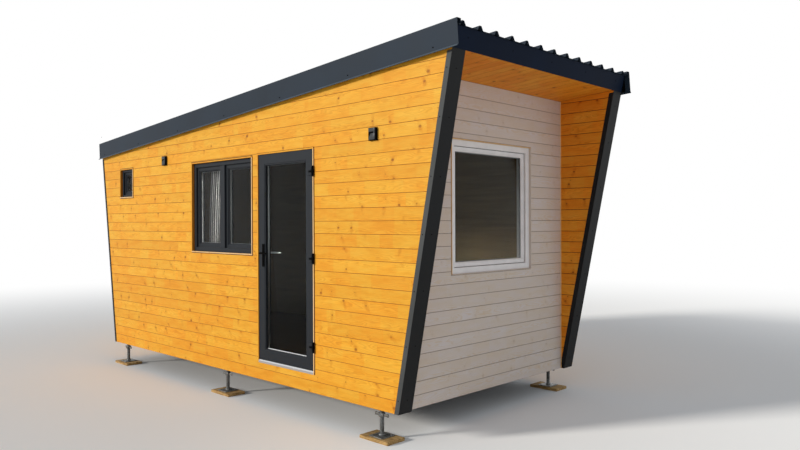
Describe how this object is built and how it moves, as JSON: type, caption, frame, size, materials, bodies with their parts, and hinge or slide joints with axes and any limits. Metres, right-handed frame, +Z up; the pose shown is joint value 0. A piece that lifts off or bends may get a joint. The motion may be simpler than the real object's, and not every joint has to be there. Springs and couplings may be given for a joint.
{
  "type": "tiny house",
  "caption": "Small timber cabin on screw jacks with outward-leaning ends, a mono-pitch ribbed metal roof, a glazed side door that opens and a sheltered end window.",
  "frame": {"origin": "on level ground under the middle of the whole footprint", "axes": "+X along the house towards the recessed end with the large window, -Y out of the long side with the door, +Z up"},
  "size_m": [6.1434, 2.7163, 3.2623],
  "materials": {
    "spruce_boards": "stained spruce boards, satin",
    "white_boards": "white-washed spruce boards, matt",
    "timber_panel": "insulated timber panel, planed",
    "pad_timber": "sawn timber, weathered",
    "anthracite_sheet": "coated steel sheet, matt",
    "chassis_steel": "black painted steel",
    "jack_steel": "galvanised, weathered",
    "anthracite_frame": "foiled window profile",
    "white_frame": "white window profile",
    "glazing": "dark insulating glass",
    "black_hardware": "black powder coat",
    "plain_aluminium": "anodised",
    "curtain_cloth": "striped woven cloth"
  },
  "bodies": {
    "house": {"chassis_rails": "chassis_steel", "chassis_cross_members": "chassis_steel", "floor_deck": "timber_panel", "door_wall_front": "timber_panel", "door_wall_head": "timber_panel", "door_wall_sill": "timber_panel", "door_wall_rear": "timber_panel", "far_wall": "timber_panel", "rear_wall": "timber_panel", "front_end_wall": "timber_panel", "door_side_boards": "spruce_boards", "far_side_boards": "spruce_boards", "rear_end_boards": "spruce_boards", "front_end_boards": "white_boards", "wing_lining_boards": "spruce_boards", "porch_soffit": "spruce_boards", "roof_deck": "timber_panel", "roof_sheet": "anthracite_sheet", "verge_battens": "timber_panel", "door_side_verge": "anthracite_sheet", "far_side_verge": "anthracite_sheet", "front_fascia": "anthracite_sheet", "rear_fascia": "anthracite_sheet", "front_corner_trims": "anthracite_sheet", "rear_corner_trims": "anthracite_sheet", "door_lining": "spruce_boards", "door_threshold": "plain_aluminium", "door_frame": "anthracite_frame", "wall_hinges": "black_hardware", "door_side_window_linings": "spruce_boards", "end_window_lining": "spruce_boards", "door_side_window_frames": "anthracite_frame", "door_side_sashes": "anthracite_frame", "door_side_panes": "glazing", "end_window_frame": "white_frame", "end_window_sash": "white_frame", "end_window_pane": "glazing", "wall_lights": "black_hardware", "curtain": "curtain_cloth", "curtain_rail": "plain_aluminium", "jack_stems": "jack_steel", "jack_nuts": "jack_steel", "jack_pads": "pad_timber"},
    "door": {"door_leaf": "anthracite_frame", "door_glass": "glazing", "leaf_hinges": "black_hardware", "handle_plates": "black_hardware"},
    "handle": {"door_levers": "black_hardware"}
  },
  "joints": [
    {"name": "door_swing", "type": "hinge", "parent": "house", "child": "door", "pos_m": [1.37722, -1.31235, 1.487], "axis": [0, 0, 1], "range_deg": [0, 100]},
    {"name": "handle_turn", "type": "hinge", "parent": "door", "child": "handle", "pos_m": [0.60022, -1.29585, 1.487], "axis": [0, 1, 0], "range_deg": [0, 45], "stiffness_Nm_per_rad": 2, "springref_deg": -22.92}
  ]
}
